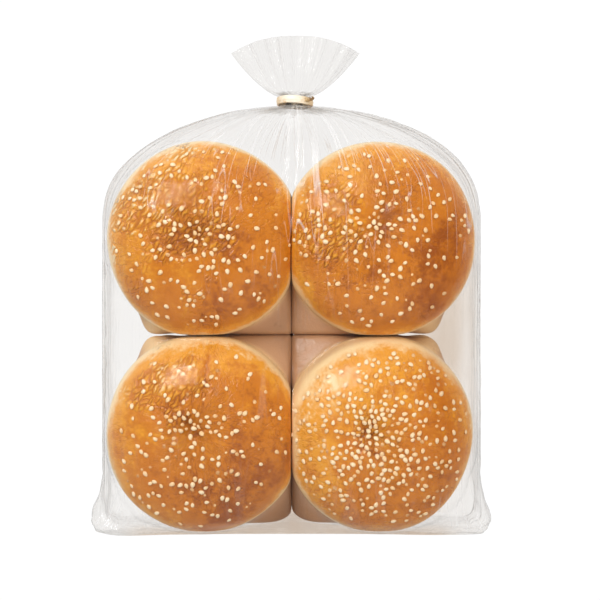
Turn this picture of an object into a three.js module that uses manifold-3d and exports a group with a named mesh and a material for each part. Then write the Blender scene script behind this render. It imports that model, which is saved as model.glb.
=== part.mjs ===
// A clear bag of sesame hamburger buns, tied at the neck with a paper twist tie, standing on its base.
// Millimetres. +Z up, the shown side faces -Y, and the origin is on the ground below the bag's middle.
// The bag is one closed solid of the shape that the film takes over two layers of two by two buns:
// a flat base with two crumpled ears, four round crowns on each face with the film spanned between them,
// arched shoulders that are gathered into folds at the neck, and a pleated fan of film above the tie.

import * as THREE from "three";
import { mergeVertices } from "three/addons/utils/BufferGeometryUtils.js";
import Module from "manifold-3d";

// ---- driving sizes ----

const bun = {
  halfWidth: 53.2, // across the bag, where no neighbour presses on it
  halfHeight: 53.8, // up the bag
  thickness: 47.8, // from the flat heel to the top of the crown
  rim: 19, // height above the heel at which a bun is widest
  crownPower: 2.3, // roundness of the crown from the rim to its top
};

const stack = {
  aside: 47.4, // from the bag's middle to the middle of a bun, so that neighbours are pressed together
  lowerRow: 53.7, // height of the middles of the lower buns
  upperRow: 159.4,
};

const film = {
  slack: 1.7, // how far the film stands off the crowns
  footSlack: 10, // below this height the film is drawn in under the lower buns
  halfWidth: 105.6,
  span: 32, // half of the bag's depth where the film is spanned between buns
  bend: 2.6, // softness of the bend where the film leaves a bun
  flank: 200, // steepness of the film past a bun's rim
  sectionPower: 4.4, // squareness of the bag's section beside the buns
  shoulderStart: 169, // the side walls are upright below it
  shoulderTop: 235.8, // where the arched shoulder runs into the neck
  shoulderPower: 2.35,
  shoulderEase: 0.55, // over 0.5, the shoulder sweeps up into the neck
  slopeStart: 192, // the front and back lean in to the neck above it
  slopePower: 1.8,
};

const base = {
  halfWidth: 100.5,
  halfDepth: 27,
  edgeHeight: 5, // height over which the base turns up into the walls
};

const ear = {
  reach: 11, // how far an ear stands out past the base
  height: 30,
  bearing: 0.66, // turned forward from the bag's side, in radians
  spread: 0.3, // in radians
  crumple: 1.1,
  taper: 1.15, // over 1, an ear spreads mostly near the ground
  footShare: 0.8, // under 1, an ear is drawn in where it meets the ground
  footHeight: 8,
};

const neck = {
  halfWidth: 8.6,
  halfDepth: 7.0,
  offset: 1.8, // the knot sits a little to the right
  top: 242.6,
};

const fan = {
  halfWidth: 36.8,
  offset: 2.2, // its middle leans a little further right than the knot
  height: 277.2, // of its edge in the middle, where it isn't pleated
  tipDrop: 10.2, // its edge is lower at the two tips
  edgePower: 2.4, // over 2, the edge is flatter in the middle
  edgeTurn: 0.3, // a pleat's edge rises by this share of how far it swings back
  flare: 0.65, // under 1, the fan spreads fast above the tie and then turns up
  halfThickness: 2.1,
  // how far its pleats swing to the front and back, and how many half waves lie across its half-width
  pleats: [
    { depth: 3.6, count: 4.3, start: 0.4 },
    { depth: 1.7, count: 6.1, start: 2.1 },
  ],
};

const gather = {
  // the folds round the neck are waves of unlike counts, so that no two folds are the same
  waves: [
    { share: 0.55, count: 17, start: 0 },
    { share: 0.3, count: 11, start: 1.9 },
    { share: 0.25, count: 25, start: 0.8 },
  ],
  neckDepth: 0.45,
  shoulderDepth: 1.7,
  shoulderRun: 62, // how far down the shoulder the folds run out
};

const tie = {
  height: 4.8,
  thickness: 0.9,
  gap: 0.35,
  middle: 239.2,
  tilt: -0.05, // the right side hangs a little, in radians
  tailLength: 7.5,
  tailWidth: 2.6,
  tailThickness: 1.1,
  tailTurns: 1.25,
  tailBearing: -0.9, // turned forward from the bag's right side, in radians
};

const grid = {
  around: 96, // points in each ring, an even number
  crowding: 0.2, // the points of a ring are moved from the bag's sides to its faces, in radians
  footRings: 8,
  wallRings: 26,
  shoulderRings: 13,
};

// ---- helpers ----

const clamp01 = (t) => Math.min(1, Math.max(0, t));
const smooth = (t) => clamp01(t) ** 2 * (3 - 2 * clamp01(t));
const mix = (a, b, t) => a + (b - a) * t;
const bell = (distance, width) => Math.exp(-((distance / width) ** 2));
const arch = (t, power) => Math.max(0, 1 - Math.abs(t) ** power) ** (1 / power);

// Angle from one bearing to another, by the short way round.
function turn(from, to) {
  return Math.atan2(Math.sin(to - from), Math.cos(to - from));
}

function folds(angle) {
  let height = 0;
  for (const wave of gather.waves) height += wave.share * Math.cos(wave.count * angle + wave.start);
  return height;
}

// Half-width of the bag at a height, and its half-depth between the buns.
function bodyHalfSizes(z) {
  const rise = clamp01((z - film.shoulderStart) / (film.shoulderTop - film.shoulderStart));
  const narrowing = (1 - rise ** film.shoulderPower) ** film.shoulderEase;
  let halfWidth = mix(neck.halfWidth, film.halfWidth, narrowing);
  if (z < base.edgeHeight) halfWidth = mix(base.halfWidth, film.halfWidth, smooth(z / base.edgeHeight));

  const slope = clamp01((z - film.slopeStart) / (film.shoulderTop - film.slopeStart));
  const spanned = mix(base.halfDepth, film.span, smooth(z / stack.lowerRow));
  return { halfWidth, halfDepth: mix(neck.halfDepth, spanned, arch(slope, film.slopePower)) };
}

// Height of the film over one bun, from the plane between the two layers. Past the bun's rim it falls away.
function crownHeight(dx, dz, slack) {
  const away = Math.hypot(dx / (bun.halfWidth + slack), dz / (bun.halfHeight + slack));
  const crown = arch(Math.min(away, 1), bun.crownPower);
  return mix(bun.rim, bun.thickness + slack, crown) - film.flank * Math.max(0, away - 1);
}

// The film lies on the buns' crowns or spans the room between them, whichever is higher, with soft bends.
function faceHeight(x, z, spanned) {
  const slack = film.slack * smooth(z / film.footSlack);
  let sum = Math.exp(spanned / film.bend);
  for (const column of [-stack.aside, stack.aside]) {
    for (const row of [stack.lowerRow, stack.upperRow]) {
      sum += Math.exp(crownHeight(x - column, z - row, slack) / film.bend);
    }
  }
  return film.bend * Math.log(sum);
}

// How far the two ears at the foot of the bag stand out.
function earReach(angle, z) {
  const lift = clamp01(1 - z / ear.height);
  const profile = lift ** ear.taper * smooth(ear.footShare + z / ear.footHeight);
  const right = turn(-ear.bearing, angle);
  const left = turn(Math.PI + ear.bearing, angle);
  const crease = ear.crumple * Math.cos(19 * angle + z / 2.2);
  const shape = bell(right, ear.spread) + 1.12 * bell(left, ear.spread);
  return (ear.reach * profile + crease * lift) * shape;
}

// A point of the film between the ground and the neck.
function bodyPoint(angle, z) {
  const { halfWidth, halfDepth } = bodyHalfSizes(z);
  const rise = clamp01((z - film.shoulderStart) / (film.shoulderTop - film.shoulderStart));
  const power = mix(film.sectionPower, 2, smooth(1.25 * rise - 0.25));
  const c = Math.cos(angle);
  const s = Math.sin(angle);
  const reach = (Math.abs(c) ** power + Math.abs(s) ** power) ** (-1 / power);
  const x = halfWidth * reach * c;
  const spanned = halfDepth * reach * Math.abs(s);
  const onFace = smooth(Math.abs(s) * 1.6 - 0.3);
  const y = Math.sign(s) * mix(spanned, faceHeight(x, z, spanned), onFace);

  const toNeck = clamp01(1 - (film.shoulderTop - z) / gather.shoulderRun);
  const near = smooth(toNeck) * (1 - 0.75 * smooth(4 * toNeck - 3));
  const pleat = gather.shoulderDepth * folds(angle) * near;
  const along = earReach(angle, z) + pleat;
  const lean = neck.offset * smooth(rise * 1.1 - 0.1);
  return [x + along * c + lean, y + along * s, z];
}

// A point of the gathered neck or of the fan above it. level runs from 0 at the neck to 1 at the fan's edge,
// and thickness from 1 on the film's face to 0 midway between front and back.
function fanPoint(angle, level, thickness) {
  const c = Math.cos(angle);
  const s = Math.sin(angle);
  const spread = level ** fan.flare;
  const halfWidth = mix(neck.halfWidth, fan.halfWidth, spread);
  const halfDepth = mix(neck.halfDepth, fan.halfThickness, smooth(level * 2.2));
  const gathered = gather.neckDepth * folds(angle) * (1 - smooth(level * 3));
  let swing = 0;
  for (const pleat of fan.pleats) swing += pleat.depth * Math.sin(Math.PI * pleat.count * c + pleat.start);
  const edge = fan.height - fan.tipDrop * Math.abs(c) ** fan.edgePower + fan.edgeTurn * swing;
  const x = (halfWidth + gathered) * c + mix(neck.offset, fan.offset, level);
  const y = (halfDepth * thickness + gathered) * s + level * swing;
  return [x, y, mix(neck.top, edge, level)];
}

// ---- rings of points, from the middle of the base up to the fan's edge ----

function bagRings() {
  const rings = [() => [0, 0, 0]];
  for (const share of [0.35, 0.7]) {
    rings.push((angle) => {
      const [x, y] = bodyPoint(angle, 0);
      return [x * share, y * share, 0];
    });
  }
  const footTop = bun.halfHeight / 2;
  for (let i = 0; i <= grid.footRings; i++) {
    const z = footTop * (i / grid.footRings) ** 1.7;
    rings.push((angle) => bodyPoint(angle, z));
  }
  for (let i = 1; i <= grid.wallRings; i++) {
    const share = i / grid.wallRings;
    // The rings stand closer together near the seam between the rows.
    const closer = 0.5 * Math.sin(2 * Math.PI * share) / (2 * Math.PI);
    const z = mix(footTop, film.shoulderStart, share + closer);
    rings.push((angle) => bodyPoint(angle, z));
  }
  for (let i = 1; i <= grid.shoulderRings; i++) {
    const quarter = (Math.PI / 2) * (i / grid.shoulderRings);
    const z = mix(film.shoulderStart, film.shoulderTop, Math.sin(quarter));
    rings.push((angle) => bodyPoint(angle, z));
  }
  for (const level of [0, 0.08, 0.18, 0.32, 0.5, 0.74, 1]) {
    rings.push((angle) => fanPoint(angle, level, 1));
  }
  // The fan's edge is a ridge, where the front and the back of the ring meet.
  rings.push((angle) => fanPoint(Math.acos(Math.cos(angle)), 1, 0));
  return rings;
}

// Leaves out the triangles that have closed up to a line, at the middle of the base and at the fan's edge.
function withoutSlivers(geometry) {
  const kept = [];
  const index = geometry.index.array;
  for (let i = 0; i < index.length; i += 3) {
    const [a, b, c] = index.subarray(i, i + 3);
    if (a !== b && b !== c && c !== a) kept.push(a, b, c);
  }
  return geometry.setIndex(kept);
}

// Bearing of a point of a ring, from its share of the way round.
function bearing(share) {
  return 2 * Math.PI * share + grid.crowding * Math.sin(4 * Math.PI * share);
}

// A flat sheet, rolled up ring by ring into the bag. Its first and last columns fall on the same points.
function bagGeometry() {
  const rings = bagRings();
  const sheet = new THREE.PlaneGeometry(1, 1, grid.around, rings.length - 1);
  const position = sheet.getAttribute("position");
  for (let i = 0; i < position.count; i++) {
    const ring = rings.length - 1 - Math.floor(i / (grid.around + 1));
    const column = (i % (grid.around + 1)) % grid.around;
    const isEdge = ring === rings.length - 1;
    const mirrored = isEdge ? Math.min(column, grid.around - column) : column;
    position.setXYZ(i, ...rings[ring](bearing(mirrored / grid.around)));
  }
  sheet.deleteAttribute("normal");
  sheet.deleteAttribute("uv");
  return withoutSlivers(mergeVertices(sheet, 1e-4));
}

// ---- the twist tie ----

const wasm = await Module();
wasm.setup();

function toSolid(geometry) {
  const plain = geometry.clone();
  plain.deleteAttribute("normal");
  plain.deleteAttribute("uv");
  const merged = mergeVertices(plain, 1e-4);
  return new wasm.Manifold(
    new wasm.Mesh({
      numProp: 3,
      vertProperties: merged.attributes.position.array,
      triVerts: new Uint32Array(merged.index.array),
    }),
  );
}

function toGeometry(solid) {
  const mesh = solid.getMesh();
  return new THREE.BufferGeometry()
    .setAttribute("position", new THREE.BufferAttribute(mesh.vertProperties, 3))
    .setIndex(new THREE.BufferAttribute(mesh.triVerts, 1));
}

// Inside half-sizes of the oval band, with room for the gathered folds.
const foldRoom = gather.neckDepth * 1.1 + tie.gap;
const bandInside = { halfWidth: neck.halfWidth + foldRoom, halfDepth: neck.halfDepth + foldRoom };

// The strip that goes round the neck: an oval ring with its middle at the origin.
function bandGeometry() {
  const { halfWidth, halfDepth } = bandInside;
  const outline = new THREE.Shape();
  outline.absellipse(0, 0, halfWidth + tie.thickness, halfDepth + tie.thickness, 0, 2 * Math.PI);
  const hole = new THREE.Path();
  hole.absellipse(0, 0, halfWidth, halfDepth, 0, 2 * Math.PI, true);
  outline.holes.push(hole);
  const band = new THREE.ExtrudeGeometry(outline, {
    depth: tie.height,
    bevelEnabled: false,
    curveSegments: 40,
  });
  return band.translate(0, 0, -tie.height / 2);
}

// The strip's two ends, twisted together into one short screw that stands off the band's front right.
function tailGeometry() {
  const steps = 20;
  const tail = new THREE.BoxGeometry(tie.tailLength, tie.tailThickness, tie.tailWidth, steps, 1, 2);
  const position = tail.getAttribute("position");
  for (let i = 0; i < position.count; i++) {
    const along = position.getX(i) / tie.tailLength + 0.5;
    const angle = 2 * Math.PI * tie.tailTurns * along;
    const y = position.getY(i);
    const z = position.getZ(i);
    const slim = mix(1, 0.72, along);
    position.setY(i, slim * (y * Math.cos(angle) - z * Math.sin(angle)));
    position.setZ(i, slim * (y * Math.sin(angle) + z * Math.cos(angle)));
  }
  const across = Math.cos(tie.tailBearing) / bandInside.halfWidth;
  const forward = Math.sin(tie.tailBearing) / bandInside.halfDepth;
  const start = 1 / Math.hypot(across, forward) + tie.thickness / 3;
  tail.translate(tie.tailLength / 2 + start, 0, 0);
  return tail.rotateZ(tie.tailBearing);
}

function tieGeometry() {
  return toGeometry(toSolid(bandGeometry()).add(toSolid(tailGeometry())));
}

// ---- the part ----

function piece(name, geometry, colour, roughness) {
  const material = new THREE.MeshStandardMaterial({ color: colour, roughness, metalness: 0 });
  const mesh = new THREE.Mesh(geometry, material);
  mesh.name = name;
  return mesh;
}

const part = new THREE.Group();
part.add(piece("bag", bagGeometry(), 0xd0842f, 0.35));

const tieGroup = new THREE.Group();
tieGroup.position.set(neck.offset, 0, tie.middle);
tieGroup.rotation.y = -tie.tilt;
tieGroup.add(piece("tie", tieGeometry(), 0xd8b98a, 0.6));
part.add(tieGroup);

export default part;
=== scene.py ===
import math
import random
import time

import bmesh
import bpy
from mathutils import Matrix, Vector, noise
from mathutils.bvhtree import BVHTree


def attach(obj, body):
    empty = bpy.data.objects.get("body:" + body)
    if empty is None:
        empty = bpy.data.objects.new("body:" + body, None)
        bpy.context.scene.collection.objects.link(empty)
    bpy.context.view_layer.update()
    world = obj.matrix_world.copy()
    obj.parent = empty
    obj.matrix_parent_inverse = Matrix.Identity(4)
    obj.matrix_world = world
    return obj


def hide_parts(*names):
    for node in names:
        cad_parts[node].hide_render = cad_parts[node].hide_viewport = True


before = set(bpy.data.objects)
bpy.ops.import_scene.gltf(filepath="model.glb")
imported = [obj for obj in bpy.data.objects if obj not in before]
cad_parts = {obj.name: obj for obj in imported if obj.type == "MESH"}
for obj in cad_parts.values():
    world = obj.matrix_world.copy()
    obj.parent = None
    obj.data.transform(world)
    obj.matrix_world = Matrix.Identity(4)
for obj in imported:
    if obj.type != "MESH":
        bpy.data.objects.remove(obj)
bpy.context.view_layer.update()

mm = 0.001  # the sizes below are in millimetres
started = time.perf_counter()


# small helpers

def clamp(t, low=0.0, high=1.0):
    return min(high, max(low, t))


def smooth(t):
    t = clamp(t)
    return t * t * (3 - 2 * t)


def risen(value, start, climb):
    return smooth((value - start) / climb)


def mix(a, b, t):
    return a + (b - a) * t


def bell(distance, width):
    return math.exp(-((distance / width) ** 2))


def arch(t, power):
    return max(0.0, 1 - abs(t) ** power) ** (1 / power)


def turn(start, end):  # the short way round from one bearing to another
    return math.atan2(math.sin(end - start), math.cos(end - start))


def softMin(a, b, blend):
    low = min(a, b)
    return low - blend * math.log(math.exp((low - a) / blend) + math.exp((low - b) / blend))


def faceOutward(bm):
    bmesh.ops.recalc_face_normals(bm, faces=bm.faces[:])
    if bm.calc_volume(signed=True) < 0:
        bmesh.ops.reverse_faces(bm, faces=bm.faces[:])


def weld(bm):  # closes rolled grids along their seams
    bmesh.ops.remove_doubles(bm, verts=bm.verts[:], dist=0.00002)


def finishPiece(name, bm, material, slotName, *nodes):
    mesh = bpy.data.meshes.new(name)
    bm.to_mesh(mesh)
    bm.free()
    mesh.shade_smooth()
    mesh.materials.append(material)
    piece = bpy.data.objects.new(name, mesh)
    bpy.context.scene.collection.objects.link(piece)
    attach(piece, "root")
    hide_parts(*nodes)
    return piece


# node helpers

def newMaterial(name):
    material = bpy.data.materials.new(name)
    material.use_nodes = True
    nodes = material.node_tree.nodes
    nodes.clear()
    output = nodes.new("ShaderNodeOutputMaterial")
    return material, nodes, material.node_tree.links, output


def attribute(nodes, name):
    node = nodes.new("ShaderNodeAttribute")
    node.attribute_name = name
    return node


def objectNoise(nodes, links, scale, detail=3.0, roughness=0.5, stretch=None):
    place = nodes.new("ShaderNodeTexCoord")
    texture = nodes.new("ShaderNodeTexNoise")
    texture.inputs["Scale"].default_value = scale
    texture.inputs["Detail"].default_value = detail
    texture.inputs["Roughness"].default_value = roughness
    if stretch:
        mapping = nodes.new("ShaderNodeMapping")
        mapping.inputs["Scale"].default_value = stretch
        links.new(place.outputs["Object"], mapping.inputs["Vector"])
        links.new(mapping.outputs["Vector"], texture.inputs["Vector"])
    else:
        links.new(place.outputs["Object"], texture.inputs["Vector"])
    return texture.outputs["Fac"]


def vectorNoise(nodes, links, vector, stretch, detail=3.0):  # noise on an attribute of the piece
    mapping = nodes.new("ShaderNodeMapping")
    mapping.inputs["Scale"].default_value = stretch
    texture = nodes.new("ShaderNodeTexNoise")
    texture.inputs["Scale"].default_value = 1
    texture.inputs["Detail"].default_value = detail
    links.new(vector, mapping.inputs["Vector"])
    links.new(mapping.outputs["Vector"], texture.inputs["Vector"])
    return texture.outputs["Fac"]


def maths(nodes, links, operation, a, b):
    node = nodes.new("ShaderNodeMath")
    node.operation = operation
    for socket, value in zip(node.inputs, (a, b)):
        if isinstance(value, (int, float)):
            socket.default_value = value
        else:
            links.new(value, socket)
    return node.outputs[0]


def rangeOf(nodes, links, value, low, high, newLow=0.0, newHigh=1.0):
    node = nodes.new("ShaderNodeMapRange")
    links.new(value, node.inputs["Value"])
    for name, number in zip(("From Min", "From Max", "To Min", "To Max"), (low, high, newLow, newHigh)):
        node.inputs[name].default_value = number
    return node.outputs["Result"]


def ramp(nodes, links, value, stops):
    node = nodes.new("ShaderNodeValToRGB")
    node.color_ramp.interpolation = "EASE"
    for _ in stops[2:]:
        node.color_ramp.elements.new(0.5)
    for element, (place, colour) in zip(node.color_ramp.elements, stops):
        element.position = place
        element.color = (*colour, 1)
    links.new(value, node.inputs["Fac"])
    return node.outputs["Color"]


def mixShaders(nodes, links, share, first, second):
    node = nodes.new("ShaderNodeMixShader")
    for socket, value in zip(node.inputs, (share, first, second)):
        links.new(value, socket)
    return node.outputs[0]


def bump(nodes, links, height, distance, strength=1.0, under=None):
    node = nodes.new("ShaderNodeBump")
    node.inputs["Distance"].default_value = distance * mm
    node.inputs["Strength"].default_value = strength
    links.new(height, node.inputs["Height"])
    if under is not None:
        links.new(under, node.inputs["Normal"])
    return node.outputs["Normal"]


# crust: pale at the flanks and where buns were pressed together, golden to brown on the crown; painted
# shade between the buns and in creases, painted light on the upper left of each crown and painted
# highlights on the tops of small folds

crustLook = {
    "shaded": (0.36, 0.19, 0.10),  # deep between two buns
    "torn": (0.50, 0.28, 0.15),
    "pale": (0.93, 0.70, 0.38),
    "golden": (0.80, 0.335, 0.024),
    "brown": (0.60, 0.185, 0.007),
    "dark": (0.36, 0.088, 0.004),
    "roughness": (0.30, 0.44),
    "patches": (46, 0.12),  # how fine the noise is, and how much it changes the bake
    "cells": (190, 0.09),
    "freckles": (640, 0.07),
    "rays": 13.0,  # creases round a dimple are this many to a radian
    "rayLength": 4.5,
    "rayWidth": 0.075,
    # painted shade along the creases round a dimple
    "rayPaintedShade": 0.04,
    "folds": 430.0,  # folds of a leathery patch, to a metre
    "foldLean": 0.61,  # from upright
    "foldSize": (1, 2, 2.3),
    "foldBend": 0.0055,
    "foldPaintedHighlight": 0.36,  # painted highlight: the top of a fold is painted paler than the furrow beside it
    # painted shade over the whole patch, so that its furrows stay dark
    "patchPaintedShade": 0.15,
}


def ridges(nodes, links, value, width):  # 0 in the middle of a crease, 1 beside it
    away = maths(nodes, links, "ABSOLUTE", maths(nodes, links, "SUBTRACT", value, 0.5), 0)
    return rangeOf(nodes, links, away, 0.0, width)


def crustMaterial():
    look = crustLook
    material, nodes, links, output = newMaterial("crustSkin")
    shader = nodes.new("ShaderNodeBsdfPrincipled")
    bakeAndPaintedLight = attribute(nodes, "bakeAndPaintedLight")
    onCrown = rangeOf(nodes, links, bakeAndPaintedLight.outputs["Fac"], 0.2, 0.5)

    # creases that run out from the dimple, here and there
    radial = attribute(nodes, "radial")
    stretch = (look["rays"], 10 / look["rayLength"], look["rays"])
    rays = vectorNoise(nodes, links, radial.outputs["Vector"], stretch, 2.5)
    creases = ridges(nodes, links, rays, look["rayWidth"])
    where = rangeOf(nodes, links, objectNoise(nodes, links, 34, 2, 0.5), 0.40, 0.62, 0.10, 1.0)
    where = maths(nodes, links, "MULTIPLY", where, onCrown)
    furrow = maths(nodes, links, "MULTIPLY", maths(nodes, links, "SUBTRACT", 1.0, creases), where)

    # painted shade: darker along the creases round the dimple
    uneven = maths(nodes, links, "MULTIPLY", furrow, look["rayPaintedShade"])
    for kind, detail, roughness in (("patches", 5, 0.62), ("cells", 3, 0.55), ("freckles", 3, 0.6)):
        scale, change = look[kind]
        spots = objectNoise(nodes, links, scale, detail, roughness)
        uneven = maths(nodes, links, "ADD", uneven, rangeOf(nodes, links, spots, 0.3, 0.7, -change, change))
        if kind == "cells":
            dull = rangeOf(nodes, links, spots, 0.3, 0.7, *look["roughness"])
            links.new(dull, shader.inputs["Roughness"])
    uneven = maths(nodes, links, "MULTIPLY", uneven, onCrown)
    toastAndPaintedLight = maths(nodes, links, "ADD", bakeAndPaintedLight.outputs["Fac"], uneven)

    # a leathery patch, where the skin dried in small folds that all lean one way
    place = nodes.new("ShaderNodeTexCoord")
    warp = nodes.new("ShaderNodeTexNoise")
    warp.inputs["Scale"].default_value = 120
    links.new(place.outputs["Object"], warp.inputs["Vector"])
    warped = nodes.new("ShaderNodeVectorMath")
    warped.operation = "MULTIPLY_ADD"
    links.new(warp.outputs["Color"], warped.inputs[0])
    warped.inputs[1].default_value = (look["foldBend"], look["foldBend"], look["foldBend"])
    links.new(place.outputs["Object"], warped.inputs[2])
    tilted = nodes.new("ShaderNodeMapping")
    tilted.vector_type = "TEXTURE"
    tilted.inputs["Rotation"].default_value = (0, look["foldLean"], 0)
    tilted.inputs["Scale"].default_value = look["foldSize"]
    links.new(warped.outputs[0], tilted.inputs["Vector"])
    skinCells = nodes.new("ShaderNodeTexVoronoi")
    skinCells.feature = "DISTANCE_TO_EDGE"
    skinCells.inputs["Scale"].default_value = look["folds"]
    links.new(tilted.outputs[0], skinCells.inputs["Vector"])
    wrinkled = attribute(nodes, "wrinkled")
    tattered = rangeOf(nodes, links, objectNoise(nodes, links, 60, 3, 0.6), 0.35, 0.65, -0.35, 0.35)
    leathery = maths(nodes, links, "ADD", wrinkled.outputs["Fac"], tattered)
    leathery = rangeOf(nodes, links, leathery, 0.30, 0.62)
    folds = rangeOf(nodes, links, skinCells.outputs["Distance"], 0.0, 0.33)
    folds = maths(nodes, links, "MULTIPLY", folds, leathery)
    # painted highlight on the tops of the folds, painted shade in the furrows between them
    toastAndPaintedLight = maths(nodes, links, "SUBTRACT", toastAndPaintedLight, maths(nodes, links, "MULTIPLY", folds, look["foldPaintedHighlight"]))
    toastAndPaintedLight = maths(nodes, links, "ADD", toastAndPaintedLight, maths(nodes, links, "MULTIPLY", leathery, look["patchPaintedShade"]))
    stops = [(0.0, look["shaded"]), (0.10, look["torn"]), (0.24, look["pale"])]
    stops += [(0.46, look["golden"]), (0.74, look["brown"]), (1.0, look["dark"])]
    colour = ramp(nodes, links, toastAndPaintedLight, stops)
    links.new(colour, shader.inputs["Base Color"])
    shader.inputs["Specular IOR Level"].default_value = 0.6

    skin = bump(nodes, links, objectNoise(nodes, links, 210, 4, 0.6), 0.8, 0.6)
    skin = bump(nodes, links, maths(nodes, links, "SUBTRACT", 1.0, furrow), 0.45, 0.7, skin)
    skin = bump(nodes, links, folds, 0.8, 1.0, skin)
    skin = bump(nodes, links, objectNoise(nodes, links, 1300, 3, 0.6), 0.14, 0.5, skin)
    links.new(skin, shader.inputs["Normal"])
    links.new(shader.outputs[0], output.inputs["Surface"])
    return material


# buns

bunShape = {
    "halfWidth": 53.2,  # before its neighbours press it flat
    "halfHeight": 53.8,
    "thickness": 47.8,
    "rim": 19.0,  # height of the widest part above the heel
    "crownPower": 2.3,
    "heelPower": 3.2,
    "aside": 47.4,  # middle of a bun from the bag's middle
    "lowerRow": 53.7,
    "upperRow": 159.4,
    "rowContact": 106.9,
    "ground": 0.9,
    "gap": 0.03,  # half of the gap between neighbours
    "groove": 1.5,  # depth of the seam between two filled corners
    "pressBlend": 0.9,
    "backShift": (1.2, 0.8),  # the back layer isn't quite behind the front one
    "pucker": 0.45,  # depth of the creases that run into a dimple
    "skirtHeight": 17.0,  # the corners that filled up in baking stay below it
    "innerFill": 0.46,
    "outerFill": 0.17,
    "footFill": 0.30,
    "fillSpread": 0.40,
    "cuts": 70,
    "heelGap": 0.3,
    "flankBake": 0.22,
    "crownBake": 0.40,  # more than the flank, from this height up, over this climb
    "crownFrom": (23.5, 15.5),
    "topBake": 0.07,
    "topFrom": (34, 12),
    "rimBake": 0.14,  # less under the rim, but not in the outer corners
    "pressedTornAndShade": 0.30,  # less where a neighbour touches it: torn crust, down to painted shade where it is pressed deepest
    "paintedLightSlope": 0.14,  # painted light and shade: the crown is painted paler at its upper left, where the light falls, than at its lower right
    "gapPaintedShade": (0.11, 0.05),  # painted shade: less in the middle gap, so darker there, for a lower and an upper bun
}

buns = {
    "frontUpperLeft": dict(
        column=-1, row=1, face=-1, wide=0.995, tone=0.03, lift=0.0,
        dimple=(-2, 1), dimpleWidth=5, dimpleDepth=2.6, wrinkled=(-14, 12, 34),
        seeds=180, cluster=0.46, drift=(1, -8), cracks=()),
    "frontUpperRight": dict(
        column=1, row=1, face=-1, wide=0.995, tone=0.06, lift=0.0,
        dimple=(-4, 6), dimpleWidth=12, dimpleDepth=3.0, wrinkled=(-24, 4, 20),
        seeds=180, cluster=0.44, drift=(3, 2), cracks=()),
    "frontLowerLeft": dict(
        column=-1, row=0, face=-1, wide=1.015, tone=0.07, lift=0.0,
        dimple=(-3, 6), dimpleWidth=6, dimpleDepth=2.6, wrinkled=(-16, 24, 18),
        seeds=182, cluster=0.44, drift=(0, -6), cracks=((3, 34, 15, 1.5),)),
    "frontLowerRight": dict(
        column=1, row=0, face=-1, wide=0.975, tone=-0.04, lift=0.0,
        dimple=(-6, 2), dimpleWidth=7, dimpleDepth=3.0, wrinkled=(-6, 2, 9),
        seeds=375, cluster=0.7, drift=(5, -2), cracks=((-7, 6, 5, 0.75), (-5, -6, 6, -0.3))),
    "backUpperLeft": dict(
        column=-1, row=1, face=1, wide=1.0, tone=0.02, lift=0.6,
        dimple=(2, 3), dimpleWidth=7, dimpleDepth=2.2, wrinkled=(12, 14, 24),
        seeds=190, cluster=0.5, drift=(0, 0), cracks=((6, 3, 5, 0.4),)),
    "backUpperRight": dict(
        column=1, row=1, face=1, wide=0.99, tone=0.06, lift=-0.8,
        dimple=(-3, -2), dimpleWidth=6, dimpleDepth=2.4, wrinkled=(-10, 16, 20),
        seeds=160, cluster=0.4, drift=(4, 4), cracks=()),
    "backLowerLeft": dict(
        column=-1, row=0, face=1, wide=0.99, tone=-0.03, lift=0.0,
        dimple=(4, 2), dimpleWidth=9, dimpleDepth=2.6, wrinkled=(6, -10, 18),
        seeds=250, cluster=0.6, drift=(-4, 0), cracks=()),
    "backLowerRight": dict(
        column=1, row=0, face=1, wide=1.0, tone=0.05, lift=0.0,
        dimple=(1, -4), dimpleWidth=5, dimpleDepth=2.4, wrinkled=(-16, 8, 26),
        seeds=150, cluster=0.4, drift=(0, 5), cracks=((-4, 2, 5, 1.2),)),
}


def layerShift(bun):
    return bunShape["backShift"] if bun["face"] > 0 else (0, 0)


def bunCentre(bun):
    shift = layerShift(bun)
    if bun["row"]:
        return bun["column"] * bunShape["aside"] + shift[0], bunShape["upperRow"] + bun["lift"] + shift[1]
    return bun["column"] * bunShape["aside"] + shift[0], bunShape["lowerRow"] + shift[1] / 2


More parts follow.
